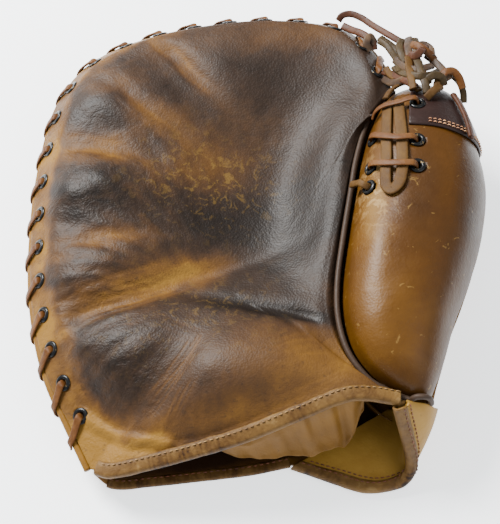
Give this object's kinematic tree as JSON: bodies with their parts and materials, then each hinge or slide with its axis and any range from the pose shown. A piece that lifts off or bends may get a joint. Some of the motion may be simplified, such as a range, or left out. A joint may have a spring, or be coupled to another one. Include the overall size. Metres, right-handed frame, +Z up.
{
  "type": "first baseman's mitt",
  "caption": "Worn leather baseball mitt for first base, lying palm up, with a laced rim, a padded thumb and an open wrist.",
  "frame": {"origin": "centre of the mitt's outline seen from above, on the surface it lies on", "axes": "+Z up out of the palm, +Y from the wrist towards the finger end, +X towards the thumb"},
  "size_m": [0.2594, 0.2872, 0.0822],
  "materials": {
    "palm_leather": "dark brown grained leather, oiled and worn to a soft shine",
    "tan_leather": "smooth golden tan leather, worn",
    "cap_leather": "dark purple-brown leather",
    "binding_leather": "thin tan leather, scuffed, with dark patches",
    "rawhide": "pale dry rawhide lace",
    "red_lace": "reddish brown lace with a dull shine",
    "dark_welt": "dark folded leather cord",
    "eyelet_metal": "black enamelled metal, worn bright on the edges"
  },
  "bodies": {
    "root": {"palm_pad": "palm_leather", "back_panel": "tan_leather", "thumb_pad": "tan_leather", "thumb_back": "tan_leather", "cuff_panel": "tan_leather", "thumb_cap": "cap_leather", "thumb_welt": "dark_welt", "rim_welt": "tan_leather", "heel_binding": "binding_leather", "back_binding": "binding_leather", "cuff_binding": "binding_leather", "palm_lining": "binding_leather", "rim_lace": "red_lace", "rim_eyelet_01": "eyelet_metal", "rim_eyelet_02": "eyelet_metal", "rim_eyelet_03": "eyelet_metal", "rim_eyelet_04": "eyelet_metal", "rim_eyelet_05": "eyelet_metal", "rim_eyelet_06": "eyelet_metal", "rim_eyelet_07": "eyelet_metal", "rim_eyelet_08": "eyelet_metal", "rim_eyelet_09": "eyelet_metal", "rim_eyelet_10": "eyelet_metal", "rim_eyelet_11": "eyelet_metal", "rim_eyelet_12": "eyelet_metal", "rim_eyelet_13": "eyelet_metal", "rim_eyelet_14": "eyelet_metal", "rim_eyelet_15": "eyelet_metal", "rim_eyelet_16": "eyelet_metal", "rim_eyelet_17": "eyelet_metal", "rim_eyelet_18": "eyelet_metal", "rim_eyelet_19": "eyelet_metal", "rim_eyelet_20": "eyelet_metal", "rim_eyelet_21": "eyelet_metal", "thumb_eyelet_1": "eyelet_metal", "thumb_eyelet_2": "eyelet_metal", "thumb_eyelet_3": "eyelet_metal", "thumb_eyelet_4": "eyelet_metal", "thumb_eyelet_5": "eyelet_metal", "thumb_eyelet_6": "eyelet_metal", "thumb_strap": "rawhide", "thumb_lace_1": "red_lace", "thumb_lace_2": "red_lace", "thumb_lace_3": "red_lace", "thumb_top_lace": "rawhide", "thumb_knot": "rawhide", "web_lace_1": "red_lace", "web_lace_2": "red_lace", "web_lace_3": "rawhide", "web_lace_4": "red_lace", "web_lace_5": "red_lace", "web_knot_1": "rawhide", "web_knot_2": "rawhide", "web_knot_3": "rawhide"}
  },
  "joints": []
}
